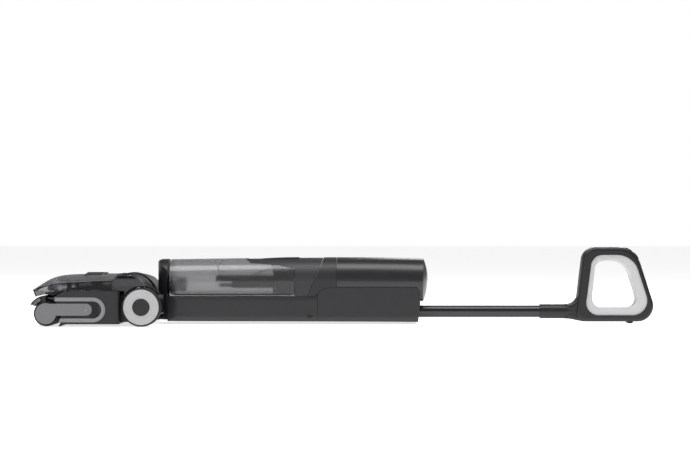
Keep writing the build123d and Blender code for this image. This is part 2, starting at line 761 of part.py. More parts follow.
# ---------------------------------------------------------------- dirty tank
def tank_shell():
    """Clear dirty-water tank, open at the lid end."""
    with BuildPart() as shell:
        add(casing(1, 2.6, [(TANK_FRONT, TANK_FLOOR), (TANK_FRONT, 140), (-214.5, 140), (-200.3, 125.5),
                            (-175, 120.7), (-140, 119.2), (TANK_END, 112.7), (TANK_END, TANK_FLOOR)],
                   [(-357, 60), (-357, 140), (-90, 140), (-90, 60)]))
        add(rod_x(0, INLET_Z, INLET_R, -370, -350), mode=Mode.SUBTRACT)
    return shell.part


def tank_lid():
    """Dark lid with a tongue along the top that holds the release button."""
    with BuildPart() as lid:
        add(casing(1, 2.8, [(-106.5, TANK_FLOOR), (-106.5, 113.1), (-139.8, 119.7), (-175, 121.2), (-200, 126.1),
                            (-213.8, 140), (-46.2, 140), (-54, 121.6), (-80.9, TANK_FLOOR)],
                   [(-230, 60.3), (-230, 150), (-46, 150), (-57.3, 121.6), (-83.3, 60.3)]))
        with BuildPart(mode=Mode.PRIVATE) as boss:
            add(body_form(1))
            add(block(-199, -94, -20, 20, 122, 140), mode=Mode.INTERSECT)
        add(boss.part)
        with BuildSketch(Plane.XY.offset(124)):
            with Locations(((-176.3 - 97.7) / 2, 0)):
                RectangleRounded(78.6, 31.2, 5.6)
        extrude(amount=20, mode=Mode.SUBTRACT)
        with BuildSketch(Plane.XY.offset(130.2)):
            with Locations((-188, 0)):
                RectangleRounded(32, 27, 6)
        extrude(amount=20, mode=Mode.SUBTRACT)
        add(rod_x(0, 98, 20, -92, -40), mode=Mode.SUBTRACT)
    return lid.part


def tank_button():
    """Wedge-shaped press button that frees the tank."""
    with BuildPart() as button:
        add(body_form(-0.9))
        with BuildSketch(Plane.XY.offset(127)):
            with Locations(((-176.3 - 97.7) / 2, 0)):
                RectangleRounded(77.6, 30.2, 5.2)
        extrude(amount=20, mode=Mode.INTERSECT)
        add(side_prism([(-180, 120), (-180, 131), (-173, 132.4), (-150, 133.6), (-127, 134.6), (-90, 134.8),
                        (-90, 120)]), mode=Mode.INTERSECT)
    return button.part


def tank_seal():
    """Rubber seal between the tank and its lid."""
    with BuildPart() as core:
        add(body_form(6.2))
        add(side_prism([(-120, 62.6), (-120, 140), (-95, 140), (-95, 62.6)]), mode=Mode.INTERSECT)
    with BuildPart() as seal:
        add(body_form(4))
        add(side_prism([(-111, 60.4), (-111, 112), (-102, 112), (-102, 60.4)]), mode=Mode.INTERSECT)
        add(core.part, mode=Mode.SUBTRACT)
    return seal.part


def intake_pipe():
    """Clear pipe that brings the dirty air and water into the tank."""
    with BuildPart() as pipe:
        add(rod_x(0, INLET_Z, 17, -357, -353, 13))
        add(rod_x(0, INLET_Z, 14.8, -354, -330, 13))
    return pipe.part


def float_cage():
    """Dark cage hung from the lid, with two prongs that reach into the tank."""
    with BuildPart() as cage:
        add(side_prism([(-268, 98), (-268, 86), (-236, 86), (-236, 81), (-261, 81), (-261, 75), (-236, 75),
                        (-236, 72.4), (-152, 72.4), (-152, 98)], 20))
        add(block(-232, -155, -17, 17, 75, 95.4), mode=Mode.SUBTRACT)
        with Locations((-194, 0, 73)):
            with GridLocations(11, 1, 6, 1):
                Box(4, 26, 8, mode=Mode.SUBTRACT)
    return cage.part


def shut_off_float():
    """Float that rises to the outlet when the tank is full."""
    with BuildPart() as body:
        add(block(-230, -182, -14.5, 14.5, 77, 93.4))
        fillet(body.edges().filter_by(Axis.X), 4)
    return body.part


def strainer_box():
    """Slotted strainer between the tank and the filter."""
    with BuildPart() as box:
        add(block(-151.6, -114, -33, 33, 62.5, 99))
        fillet(box.edges().filter_by(Axis.X), 6)
        add(block(-149, -100, -30.4, 30.4, 65, 96.4), mode=Mode.SUBTRACT)
        with Locations((-133, 0, 81)):
            with GridLocations(8, 1, 4, 1):
                Box(3.2, 80, 22, mode=Mode.SUBTRACT)
    return box.part


# ---------------------------------------------------------------- clean tank
def clean_tank():
    """Opaque clean-water tank that straddles the rod's sleeve."""
    with BuildPart() as water:
        add(body_form(2.8))
        add(side_prism([(-56.9, 0), (-56.9, 60.8), (-51.5, 66.3), (-35.5, 71.2), (-22, 71.9), (135.6, 71.9),
                        (139.5, 68.5), (144, 44), (139.5, 0)]), mode=Mode.INTERSECT)
        add(block(-44.8, 200, -20.8, 20.8, 0, 100), mode=Mode.SUBTRACT)
    with BuildPart() as tank:
        add(body_form(0))
        add(side_prism([(CLEAN_FRONT, 0), (CLEAN_FRONT, 62), (-53, 68.9), (-36, 74), (-22, CLEAN_TOP),
                        (136.8, CLEAN_TOP), (140.4, 73.3), (142.4, 69.8), (147, 44), (142.3, 0)]),
            mode=Mode.INTERSECT)
        add(water.part, mode=Mode.SUBTRACT)
        add(block(-42, 200, -18, 18, 8, 100), mode=Mode.SUBTRACT)
        with Locations((105, -34, 74)):
            Cylinder(11.5, 8, mode=Mode.SUBTRACT)
    return tank.part


def clean_tank_cap():
    """Filler cap of the clean tank."""
    with BuildPart() as cap:
        with Locations((105, -34, 73)):
            Cylinder(11.5, 2.8)
        with Locations((105, -34, 69)):
            Cylinder(9.5, 6)
            Cylinder(7.5, 7, mode=Mode.SUBTRACT)
        with Locations((105, -34, 73)):
            Cylinder(9.6, 2.2)
    return cap.part


# ---------------------------------------------------------------- handle
LOOP_OUTER = [(464.4, 3.7), (483.6, 155.5), (587.6, 155.5), (636.9, 3.7)]
LOOP_RADII = [16, 28, 50, 32]
LINER_OUTER = [(483.6, 16.6), (499.4, 139.6), (582.7, 139.6), (623, 16.6)]
LINER_OUTER_RADII = [25, 24, 45, 30]
LINER_INNER = [(498.1, 31.7), (506.3, 127.3), (569, 127.3), (596.7, 31.7)]
LINER_INNER_RADII = [20, 18, 40, 18]


def loop_prism(points, radii, half):
    """A loop outline with round corners, carried to both sides."""
    with BuildPart() as prism:
        with BuildSketch(Plane.XZ):
            with BuildLine():
                FilletPolyline(*points, radius=radii, close=True)
            make_face()
        extrude(amount=half, both=True)
    return prism.part


def pod_sector(r0, r1, low, high, half):
    """A slice of the loop's outer corner between two angles."""
    with BuildPart() as sector:
        with BuildSketch(Plane.XZ):
            with Locations((POD_X, POD_Z)):
                Circle(r1)
                Circle(r0, mode=Mode.SUBTRACT)
            with BuildLine():
                Polyline((POD_X, POD_Z),
                         (POD_X + 90 * cos(radians(low)), POD_Z + 90 * sin(radians(low))),
                         (POD_X + 90 * cos(radians(high)), POD_Z + 90 * sin(radians(high))), close=True)
            make_face(mode=Mode.INTERSECT)
        extrude(amount=half, both=True)
    return sector.part


def handle_form():
    """Handle shell before it is split: the loop, the socket and the web between them."""
    with BuildPart() as form:
        add(loop_prism(LOOP_OUTER, LOOP_RADII, HANDLE_HALF))
        fillet(form.faces().sort_by(Axis.Y)[0].edges() + form.faces().sort_by(Axis.Y)[-1].edges(), 7)
        with BuildPart(mode=Mode.PRIVATE) as web:
            with BuildSketch(Plane.XZ):
                with BuildLine():
                    Line((446, 38.8), (446, 9.2))
                    Spline((446, 9.2), (476, 4.6), (500, 3.9), tangents=((1, 0), (1, 0)))
                    Polyline((500, 3.9), (500, 82), (475.4, 82))
                    Spline((475.4, 82), (469.5, 52), (446, 38.8), tangents=((-0.1, -1), (-1, 0)))
                make_face()
            extrude(amount=14.7, both=True)
            fillet(web.faces().sort_by(Axis.Y)[0].edges() + web.faces().sort_by(Axis.Y)[-1].edges(), 7)
        add(web.part)
        add(rod_x(0, ROD_Z, 14.9, SOCKET_X, 470))
        add(loop_prism(LINER_OUTER, LINER_OUTER_RADII, FAR), mode=Mode.SUBTRACT)
        add(rod_x(0, ROD_Z, ROD_R, 390, ROD_END), mode=Mode.SUBTRACT)
        add(handle_foot(), mode=Mode.SUBTRACT)
        add(pod_sector(47.2, 60, 30, 73, POD_HALF), mode=Mode.SUBTRACT)
    return form.part


def handle_half(form, side):
    """One half of the handle shell, with a wire channel along its inside."""
    with BuildPart() as half:
        add(form)
        add(block(300, 700, min(0, -side * FAR), max(0, -side * FAR), -50, 250), mode=Mode.SUBTRACT)
        with BuildPart(mode=Mode.PRIVATE) as channel:
            with BuildSketch(Plane.XZ):
                with BuildLine():
                    FilletPolyline(*LOOP_OUTER, radius=LOOP_RADII, close=True)
                make_face()
                offset(amount=-5)
                with BuildSketch(mode=Mode.PRIVATE) as keep:
                    with BuildLine():
                        FilletPolyline(*LINER_OUTER, radius=LINER_OUTER_RADII, close=True)
                    make_face()
                    offset(amount=4)
                add(keep.sketch, mode=Mode.SUBTRACT)
            extrude(amount=-side * 12)
            add(handle_foot_room(), mode=Mode.SUBTRACT)
        add(channel.part, mode=Mode.SUBTRACT)
    return half.part


def handle_foot():
    """Small rubber bump that keeps the handle off the floor."""
    return side_prism([(571.5, 5.6), (571.5, 3.2), (575, 0), (581, 0), (584.5, 3.2), (584.5, 5.6)], 11)


def handle_foot_room():
    """Solid material kept round the rubber bump."""
    return block(566, 590, -30, 30, 0, 9)


def grip_liner():
    """Light inner ring of the grip, thicker where the hand closes."""
    with BuildPart() as liner:
        add(loop_prism(LINER_OUTER, LINER_OUTER_RADII, 17))
        add(loop_prism(LINER_INNER, LINER_INNER_RADII, FAR), mode=Mode.SUBTRACT)
        rims = liner.faces().sort_by(Axis.Y)[0].inner_wires()[0].edges()
        rims += liner.faces().sort_by(Axis.Y)[-1].inner_wires()[0].edges()
        fillet(rims, 4)
    return liner.part


def button_pod():
    """Raised panel for the buttons on the loop's outer corner."""
    with BuildPart() as pod:
        add(pod_sector(47.2, 51.4, 30.4, 72.6, POD_HALF - 0.3))
        for low, high in BUTTON_ARCS:
            add(pod_sector(49, 60, low, high, 8.2), mode=Mode.SUBTRACT)
    return pod.part


def pod_button(low, high):
    """A curved press button in the pod."""
    with BuildPart() as button:
        add(pod_sector(50.3, 52.6, low + 0.35, high - 0.35, 7.9))
        chamfer(button.faces().sort_by(Axis((POD_X, 0, POD_Z), (cos(radians((low + high) / 2)), 0,
                                                                sin(radians((low + high) / 2)))))[-1].edges(), 0.6)
    return button.part


# ================================================================ build and save
save(head_chassis(), "head_chassis")
save(inner_deck(), "inner_deck")
save(spray_bar(), "spray_bar")
save(head_rear_cover(), "head_rear_cover")
save(neck_shroud(), "neck_shroud")
save(side_trims(), "side_trims")
save(vent_grilles(), "vent_grilles")
save(side_arms(), "side_arms")
save(squeegee(), "squeegee")
save(steel_pins(), "steel_pins")
save(roller_motor(), "roller_motor")
save(latch_pan(), "latch_pan")
save(brush_window(), "brush_window")
save(window_latch(), "window_latch")
save(scraper_arm(), "scraper_arm")
save(scraper_comb(), "scraper_comb")
save(roller_fleece(), "roller_fleece")
save(rod_y(ROLLER_X, ROLLER_Z, CORE_R, -ROLLER_HALF, ROLLER_HALF, CORE_BORE), "roller_core")
save(roller_plugs(), "roller_plugs")
for side, name in ((-1, "left"), (1, "right")):
    save(tyre(side), f"tyre_{name}")
    save(wheel_disc(side), f"wheel_disc_{name}")
    save(hub_cap(side), f"hub_cap_{name}")
save(neck_arm(), "neck_arm")
save(foot_collar(), "foot_collar")
save(rear_casing(), "rear_casing")
save(clean_tank_button(), "clean_tank_button")
save(tank_cradle(), "tank_cradle")
save(steer_bracket(), "steer_bracket")
save(rod_x(0, INLET_Z, 20, COLLAR_REAR, -359.8, INLET_R), "inlet_seal")
save(water_pump(), "water_pump")
save(dock_casing(), "dock_casing")
save(motor_cover(), "motor_cover")
save(lens_slice(2.0, LENS_R, 0), "display_lens")
save(mid_frame(), "mid_frame")
save(suction_motor(), "suction_motor")
save(impeller(), "impeller")
save(air_filter(), "air_filter")
save(battery_cells(), "battery_cells")
save(control_board(), "control_board")
save(tank_shell(), "tank_shell")
save(tank_lid(), "tank_lid")
save(tank_button(), "tank_button")
save(tank_seal(), "tank_seal")
save(intake_pipe(), "intake_pipe")
save(float_cage(), "float_cage")
save(shut_off_float(), "shut_off_float")
save(strainer_box(), "strainer_box")
save(clean_tank(), "clean_tank")
save(clean_tank_cap(), "clean_tank_cap")
save(rod_x(0, ROD_Z, ROD_R, ROD_START, ROD_END, 10.6), "handle_rod")
handle = handle_form()
save(handle_half(handle, -1), "handle_shell_left")
save(handle_half(handle, 1), "handle_shell_right")
save(handle_foot(), "handle_foot")
save(grip_liner(), "grip_liner")
save(button_pod(), "button_pod")
save(pod_button(*BUTTON_ARCS[0]), "mode_button")
save(pod_button(*BUTTON_ARCS[1]), "power_button")
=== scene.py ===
# %% [markdown]
# A wet dry floor scrubber lies flat on a pale studio floor. Its hard parts come ready
# made as CAD nodes, so this lesson gives each of them a real finish, and models what a
# CAD solid can't show well: the fleece, fine beads, marks and screws.

# %% Load the imported model
import json
import math
import bmesh
import bpy
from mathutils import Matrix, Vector, noise
from mathutils.bvhtree import BVHTree


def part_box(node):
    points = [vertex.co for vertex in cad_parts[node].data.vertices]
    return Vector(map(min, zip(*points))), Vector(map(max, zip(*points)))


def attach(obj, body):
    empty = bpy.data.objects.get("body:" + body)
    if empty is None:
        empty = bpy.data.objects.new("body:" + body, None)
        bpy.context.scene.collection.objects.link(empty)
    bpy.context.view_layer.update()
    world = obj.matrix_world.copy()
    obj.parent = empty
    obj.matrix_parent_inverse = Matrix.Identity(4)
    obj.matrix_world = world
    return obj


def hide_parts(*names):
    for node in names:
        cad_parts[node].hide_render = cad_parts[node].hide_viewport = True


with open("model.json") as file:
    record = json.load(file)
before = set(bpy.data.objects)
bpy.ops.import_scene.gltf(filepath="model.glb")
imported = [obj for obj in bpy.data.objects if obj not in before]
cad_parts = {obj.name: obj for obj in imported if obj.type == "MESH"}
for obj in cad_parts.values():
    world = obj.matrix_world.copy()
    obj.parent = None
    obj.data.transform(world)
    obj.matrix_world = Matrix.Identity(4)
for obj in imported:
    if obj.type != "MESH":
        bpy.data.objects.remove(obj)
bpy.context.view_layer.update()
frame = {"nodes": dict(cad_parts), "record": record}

# %% [markdown]
# The camera stands three metres to the machine's left, at about shin height, and looks
# straight across. A long lens could also be faked with an orthographic camera, but then
# the near wheel would not look larger than the far one, so a real lens is used.

# %% Place the camera
lens_data = bpy.data.cameras.new("side_camera")
lens_data.lens = 76.3
lens_data.sensor_width = 36.0
side_camera = bpy.data.objects.new("side_camera", lens_data)
side_camera.location = (-0.005, -3.0, 0.1916)
side_camera.rotation_euler = (math.radians(90), 0, 0)
bpy.context.scene.collection.objects.link(side_camera)
bpy.context.scene.camera = side_camera
bpy.context.scene.view_settings.view_transform = "Standard"
print("camera looks along +Y from", tuple(round(v, 3) for v in side_camera.location))

# %% [markdown]
# Three soft panels and a white surround light the studio. One hard lamp would give deep
# shadows under the machine; wide panels give the long, even highlights that show the
# shape of the tank, the barrel and the rod. The surround looks white behind the machine
# and through its clear parts, but lights it only weakly, as black flags beside a real
# set do, so that the dark plastics stay dark.

# %% Light the studio
world = bpy.data.worlds.new("white_studio")
world.use_nodes = True
sky = world.node_tree.nodes["Background"]
sky.inputs["Color"].default_value = (1.0, 1.0, 1.0, 1.0)
ray = world.node_tree.nodes.new("ShaderNodeLightPath")
seen = world.node_tree.nodes.new("ShaderNodeMath")
seen.operation = "MAXIMUM"
glow = world.node_tree.nodes.new("ShaderNodeMapRange")
glow.inputs["To Min"].default_value = 0.24
glow.inputs["To Max"].default_value = 1.0
world.node_tree.links.new(ray.outputs["Is Camera Ray"], seen.inputs[0])
world.node_tree.links.new(ray.outputs["Is Transmission Ray"], seen.inputs[1])
world.node_tree.links.new(seen.outputs[0], glow.inputs["Value"])
world.node_tree.links.new(glow.outputs["Result"], sky.inputs["Strength"])
bpy.context.scene.world = world


def soft_panel(name, place, aim, width, height, watts):
    """A rectangular lamp that faces a point."""
    data = bpy.data.lights.new(name, "AREA")
    data.shape = "RECTANGLE"
    data.size, data.size_y = width, height
    data.energy = watts
    lamp = bpy.data.objects.new(name, data)
    lamp.location = place
    lamp.rotation_euler = (Vector(aim) - Vector(place)).to_track_quat("-Z", "Y").to_euler()
    bpy.context.scene.collection.objects.link(lamp)
    return lamp


soft_panel("top_panel", (0.0, -0.5, 1.9), (0.0, 0.0, 0.05), 2.6, 0.9, 34)
soft_panel("front_panel", (-1.2, -2.2, 0.9), (-0.2, 0.0, 0.06), 1.0, 0.8, 6)
soft_panel("back_panel", (0.8, 1.9, 1.2), (0.1, 0.0, 0.06), 1.4, 0.8, 14)

# %% [markdown]
# Colours are picked as sRGB hex values, as a paint card shows them. Blender's shaders
# want linear light, so one function converts them. Another small function adds a node
# with its settings and links, which keeps each finish readable. A Mix node that blends
# colours has its colour sockets at fixed places, which get names here.

# %% Colour and node helpers
MIX_A, MIX_B, MIX_OUT = 6, 7, 2


def linear(code):
    """An sRGB hex colour as linear red, green, blue and alpha."""
    parts = [int(code[i:i + 2], 16) / 255 for i in (1, 3, 5)]
    return tuple(c / 12.92 if c <= 0.04045 else ((c + 0.055) / 1.055) ** 2.4 for c in parts) + (1.0,)


def add_node(tree, kind, settings=None, links=None):
    """A shader node with its settings, and sockets linked from other nodes."""
    node = tree.nodes.new(kind)
    for key, value in (settings or {}).items():
        if key in node.inputs:
            node.inputs[key].default_value = value
        else:
            setattr(node, key, value)
    for key, source in (links or {}).items():
        tree.links.new(source, node.inputs[key])
    return node


def start_material(name):
    """An empty material with its shader, its output and coordinates in metres."""
    made = bpy.data.materials.new(name)
    made.use_nodes = True
    tree = made.node_tree
    shader = tree.nodes["Principled BSDF"]
    place = add_node(tree, "ShaderNodeTexCoord").outputs["Object"]
    return made, tree, shader, place


print("charcoal in linear light:", [round(c, 4) for c in linear("#383838")])

# %% [markdown]
# Most shells are ABS, injection-moulded in a spark-eroded mould. The eye sees a fine
# even grain, a soft sheen, and faint cloudiness where the melt flowed. Real grain is
# about 0.3 mm across; here it is 1.2 mm, the finest that shows from three metres away.

# %% Moulded ABS
def moulded_abs(name, dark, light, roughness=0.42, grain_mm=1.2, depth=0.05):
    """Satin moulded plastic: cloudy colour, fine grain and slightly uneven gloss."""
    made, tree, shader, place = start_material(name)
    cloud = add_node(tree, "ShaderNodeTexNoise", {"Scale": 1 / 0.045, "Detail": 3.0}, {"Vector": place})
    tint = add_node(tree, "ShaderNodeMix", {"data_type": "RGBA"}, {0: cloud.outputs["Fac"]})
    tint.inputs[MIX_A].default_value = linear(dark)
    tint.inputs[MIX_B].default_value = linear(light)
    tree.links.new(tint.outputs[MIX_OUT], shader.inputs["Base Color"])
    grain = add_node(tree, "ShaderNodeTexNoise", {"Scale": 1000 / grain_mm, "Detail": 2.0},
                     {"Vector": place})
    gloss = add_node(tree, "ShaderNodeMapRange", {"To Min": roughness - 0.05, "To Max": roughness + 0.07},
                     {"Value": grain.outputs["Fac"]})
    tree.links.new(gloss.outputs["Result"], shader.inputs["Roughness"])
    bump = add_node(tree, "ShaderNodeBump", {"Strength": depth, "Distance": 0.0004},
                    {"Height": grain.outputs["Fac"]})
    tree.links.new(bump.outputs["Normal"], shader.inputs["Normal"])
    shader.inputs["IOR"].default_value = 1.53
    shader.inputs["Specular IOR Level"].default_value = 0.4
    return made


finishes = {
    "head_plastic": moulded_abs("abs_moulded_black_satin", "#1A1A1C", "#202022"),
    "cover_plastic": moulded_abs("abs_moulded_graphite", "#28282A", "#2F2F31"),
    "collar_plastic": moulded_abs("abs_moulded_near_black", "#141416", "#19191B", 0.38),
    "body_plastic": moulded_abs("abs_moulded_charcoal", "#212123", "#272729"),
    "lid_plastic": moulded_abs("abs_moulded_slate", "#2B2B2D", "#323234"),
    "handle_plastic": moulded_abs("abs_moulded_handle_charcoal", "#1B1B1D", "#212123", 0.36),
    "arm_grey": moulded_abs("abs_moulded_mid_grey", "#6E6E70", "#757577", 0.4),
    "trim_grey": moulded_abs("abs_moulded_trim_grey", "#7E7E80", "#868688", 0.4),
    "wheel_grey": moulded_abs("abs_moulded_wheel_grey", "#AEAEAF", "#B8B8B9", 0.42),
    "hub_dark": moulded_abs("abs_moulded_hub_black", "#161618", "#1C1C1E", 0.4),
    "black_plastic": moulded_abs("polypropylene_moulded_black", "#0E0E10", "#141416", 0.5),
    "button_dark": moulded_abs("abs_moulded_button_black", "#161618", "#1C1C1E", 0.3),
}
print("moulded finishes:", len(finishes))

# %% [markdown]
# The barrel over the motor is ABS too, but from a polished mould, so a clear, slightly
# soft highlight runs along it. A coat layer could do this; a lower roughness with a
# very shallow, broad waviness is closer, because real polished shells are never flat.

# %% Polished ABS and the gloss display
def polished_plastic(name, dark, light, roughness, wave_mm=18.0):
    """Polished moulded plastic with a faint broad waviness."""
    made, tree, shader, place = start_material(name)
    wave = add_node(tree, "ShaderNodeTexNoise", {"Scale": 1000 / wave_mm, "Detail": 1.0}, {"Vector": place})
    tint = add_node(tree, "ShaderNodeMix", {"data_type": "RGBA"}, {0: wave.outputs["Fac"]})
    tint.inputs[MIX_A].default_value = linear(dark)
    tint.inputs[MIX_B].default_value = linear(light)
    tree.links.new(tint.outputs[MIX_OUT], shader.inputs["Base Color"])
    bump = add_node(tree, "ShaderNodeBump", {"Strength": 0.04, "Distance": 0.0006},
                    {"Height": wave.outputs["Fac"]})
    tree.links.new(bump.outputs["Normal"], shader.inputs["Normal"])
    shader.inputs["Roughness"].default_value = roughness
    shader.inputs["IOR"].default_value = 1.53
    return made


finishes["barrel_plastic"] = polished_plastic("abs_polished_charcoal", "#1E1E20", "#242426", 0.3)
finishes["display_black"] = polished_plastic("pmma_gloss_black", "#0B0B0D", "#101012", 0.2)
finishes["cell_wrap"] = polished_plastic("pvc_shrink_wrap_blue", "#3A5E76", "#41667F", 0.3)
finishes["board_green"] = polished_plastic("solder_mask_green", "#1F4F31", "#255838", 0.32, 4.0)
print("polished finishes: barrel, display, cells, board")

# %% [markdown]
# The window and the dirty tank are clear polycarbonate with a smoky tint. Light passes
# through and loses a little at each wall, so what lies inside shows as a dim shape. The
# tint is set on the shader's own colour socket; scuffs only change the roughness.

# %% Smoky polycarbonate
def clear_polycarbonate(name, tint, scuff):
    """Tinted clear plastic with faint rubbed patches."""
    made, tree, shader, place = start_material(name)
    shader.inputs["Base Color"].default_value = linear(tint)
    shader.inputs["Transmission Weight"].default_value = 1.0
    shader.inputs["IOR"].default_value = 1.585
    rub = add_node(tree, "ShaderNodeTexNoise", {"Scale": 1 / 0.02, "Detail": 4.0}, {"Vector": place})
    gloss = add_node(tree, "ShaderNodeMapRange", {"To Min": scuff, "To Max": scuff + 0.06},
                     {"Value": rub.outputs["Fac"]})
    tree.links.new(gloss.outputs["Result"], shader.inputs["Roughness"])
    return made


finishes["smoke_clear"] = clear_polycarbonate("polycarbonate_smoky_clear", "#B4B4B6", 0.2)
finishes["clear_pipe"] = clear_polycarbonate("polycarbonate_clear_pipe", "#9A9A9D", 0.05)
window_clear = clear_polycarbonate("polycarbonate_dark_smoke", "#7C7C80", 0.06)
print("clear finishes:", finishes["smoke_clear"].name, finishes["clear_pipe"].name, window_clear.name)

# %% [markdown]
# Rubber is dull and takes a little dust. Tyres are harder and blacker than the lip and
# the seals, so the two get their own colours, and both share a mottled, matt surface.

# %% Rubber
def moulded_rubber(name, dark, dusty, speck_mm):
    """Matt rubber with a thin film of dust."""
    made, tree, shader, place = start_material(name)
    speck = add_node(tree, "ShaderNodeTexNoise", {"Scale": 1000 / speck_mm, "Detail": 5.0},
                     {"Vector": place})
    film = add_node(tree, "ShaderNodeMix", {"data_type": "RGBA"}, {0: speck.outputs["Fac"]})
    film.inputs[MIX_A].default_value = linear(dark)
    film.inputs[MIX_B].default_value = linear(dusty)
    tree.links.new(film.outputs[MIX_OUT], shader.inputs["Base Color"])
    bump = add_node(tree, "ShaderNodeBump", {"Strength": 0.12, "Distance": 0.0004},
                    {"Height": speck.outputs["Fac"]})
    tree.links.new(bump.outputs["Normal"], shader.inputs["Normal"])
    shader.inputs["Roughness"].default_value = 0.72
    shader.inputs["IOR"].default_value = 1.52
    return made


finishes["tyre_rubber"] = moulded_rubber("rubber_tyre_black", "#0F0F10", "#18181A", 2.0)
finishes["soft_rubber"] = moulded_rubber("rubber_seal_black", "#141415", "#1E1E20", 1.5)
print("rubber finishes:", finishes["tyre_rubber"].name, finishes["soft_rubber"].name)

# %% [markdown]
# The handle's inner ring is a soft thermoplastic elastomer over the hard shell: pale,
# silky and slightly powdery. A little sheen gives the powdery edge that it has.

# %% Soft-touch elastomer
def soft_touch(name, dark, light):
    """Pale elastomer with a silky edge."""
    made = moulded_abs(name, dark, light, 0.58, 1.5, 0.04)
    shader = made.node_tree.nodes["Principled BSDF"]
    shader.inputs["Sheen Weight"].default_value = 0.25
    shader.inputs["Sheen Roughness"].default_value = 0.4
    return made


finishes["liner_light"] = soft_touch("elastomer_soft_touch_pale_grey", "#C2C2C2", "#CACACA")
print("soft finish:", finishes["liner_light"].name)

# %% [markdown]
# Metals: turned steel pins, the motor's aluminium can and the anodised tube of the
# handle. A drawn tube has faint lines along it, which stretch its highlight. Stretching
# a noise pattern along X gives those lines, and metals keep their default IOR.

# %% Metals
def drawn_metal(name, dark, light, roughness, stretch, line_mm=0.6):
    """Metal with fine lines, stretched along each axis by its own amount."""
    made, tree, shader, place = start_material(name)
    shift = add_node(tree, "ShaderNodeMapping", {"Scale": stretch}, {"Vector": place})
    line = add_node(tree, "ShaderNodeTexNoise", {"Scale": 1000 / line_mm, "Detail": 2.0},
                    {"Vector": shift.outputs["Vector"]})
    tint = add_node(tree, "ShaderNodeMix", {"data_type": "RGBA"}, {0: line.outputs["Fac"]})
    tint.inputs[MIX_A].default_value = linear(dark)
    tint.inputs[MIX_B].default_value = linear(light)
    tree.links.new(tint.outputs[MIX_OUT], shader.inputs["Base Color"])
    bump = add_node(tree, "ShaderNodeBump", {"Strength": 0.05, "Distance": 0.0002},
                    {"Height": line.outputs["Fac"]})
    tree.links.new(bump.outputs["Normal"], shader.inputs["Normal"])
    shader.inputs["Metallic"].default_value = 1.0
    shader.inputs["Roughness"].default_value = roughness
    return made


finishes["steel"] = drawn_metal("steel_turned", "#8E8E90", "#A2A2A4", 0.32, (1.0, 0.05, 1.0))
finishes["rod_metal"] = drawn_metal("aluminium_anodised_dark", "#414143", "#4B4B4E", 0.3,
                                    (0.02, 1.0, 1.0), 1.2)
finishes["motor_metal"] = drawn_metal("aluminium_turned", "#98989A", "#A8A8AA", 0.36,
                                      (0.05, 1.0, 1.0))
print("metal finishes: steel, anodised rod, motor can")

# %% [markdown]
# Fleece is millions of short fibres that catch the light at their edges. Sheen gives
# that soft rim, and a two-scale noise gives the tufts: clumps about 3 mm across with
# fibre ends of about 0.8 mm. Filter paper gets the same treatment, but flatter.

# %% Fleece and filter paper
def napped_fabric(name, dark, light, clump_mm, fibre_mm, sheen):
    """Short-pile fabric with clumps and fibre ends."""
    made, tree, shader, place = start_material(name)
    clump = add_node(tree, "ShaderNodeTexNoise", {"Scale": 1000 / clump_mm, "Detail": 2.0},
                     {"Vector": place})
    fibre = add_node(tree, "ShaderNodeTexNoise", {"Scale": 1000 / fibre_mm, "Detail": 3.0},
                     {"Vector": place})
    both = add_node(tree, "ShaderNodeMath", {"operation": "MULTIPLY"},
                    {0: clump.outputs["Fac"], 1: fibre.outputs["Fac"]})
    spread = add_node(tree, "ShaderNodeMapRange", {"From Min": 0.12, "From Max": 0.4},
                      {"Value": both.outputs[0]})
    tint = add_node(tree, "ShaderNodeMix", {"data_type": "RGBA"}, {0: spread.outputs["Result"]})
    tint.inputs[MIX_A].default_value = linear(dark)
    tint.inputs[MIX_B].default_value = linear(light)
    tree.links.new(tint.outputs[MIX_OUT], shader.inputs["Base Color"])
    bump = add_node(tree, "ShaderNodeBump", {"Strength": 0.5, "Distance": 0.0012},
                    {"Height": both.outputs[0]})
    tree.links.new(bump.outputs["Normal"], shader.inputs["Normal"])
    shader.inputs["Roughness"].default_value = 0.9
    shader.inputs["Sheen Weight"].default_value = sheen
    return made


finishes["fleece"] = napped_fabric("microfibre_fleece_dark_grey", "#101012", "#303034", 3.0, 0.8, 0.04)
finishes["filter_pleats"] = napped_fabric("filter_paper_white", "#BDBDB8", "#D4D4CF", 5.0, 1.0, 0.1)
print("fabric finishes:", finishes["fleece"].name, finishes["filter_pleats"].name)

# %% [markdown]
# Every CAD node names its material slot in the record, so one loop can dress them all.
# The alternative, picking objects by hand, would miss a node as soon as one is added.

# %% Dress the CAD nodes
slot_of = {entry["node"]: entry["material_slot"] for entry in frame["record"]["subparts"]}
for node_name, part_object in frame["nodes"].items():
    part_object.data.materials.clear()
    part_object.data.materials.append(finishes[slot_of[node_name]])
frame["nodes"]["brush_window"].data.materials[0] = window_clear
print("dressed nodes:", len(frame["nodes"]))


# %% [markdown]
# New pieces are meshes made in code. One helper turns points and faces into an object,
# gives it a finish, and makes it ride on its body. A second one finds where a straight
# line meets a CAD surface, so that beads and marks sit exactly on a curved shell.

# %% Piece helpers
def make_piece(name, points, faces, finish, body, smooth=True):
    """A mesh object from points and faces, dressed and riding on a body."""
    mesh = bpy.data.meshes.new(name)
    mesh.from_pydata(points, [], faces)
    shaped = bmesh.new()
    shaped.from_mesh(mesh)
    bmesh.ops.recalc_face_normals(shaped, faces=shaped.faces)
    shaped.to_mesh(mesh)
    shaped.free()
    for face in mesh.polygons:
        face.use_smooth = smooth
    piece = bpy.data.objects.new(name, mesh)
    bpy.context.scene.collection.objects.link(piece)
    mesh.materials.append(finishes[finish])
    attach(piece, body)
    return piece


SIDES = ((-1, "left"), (1, "right"))
surface_trees = {}


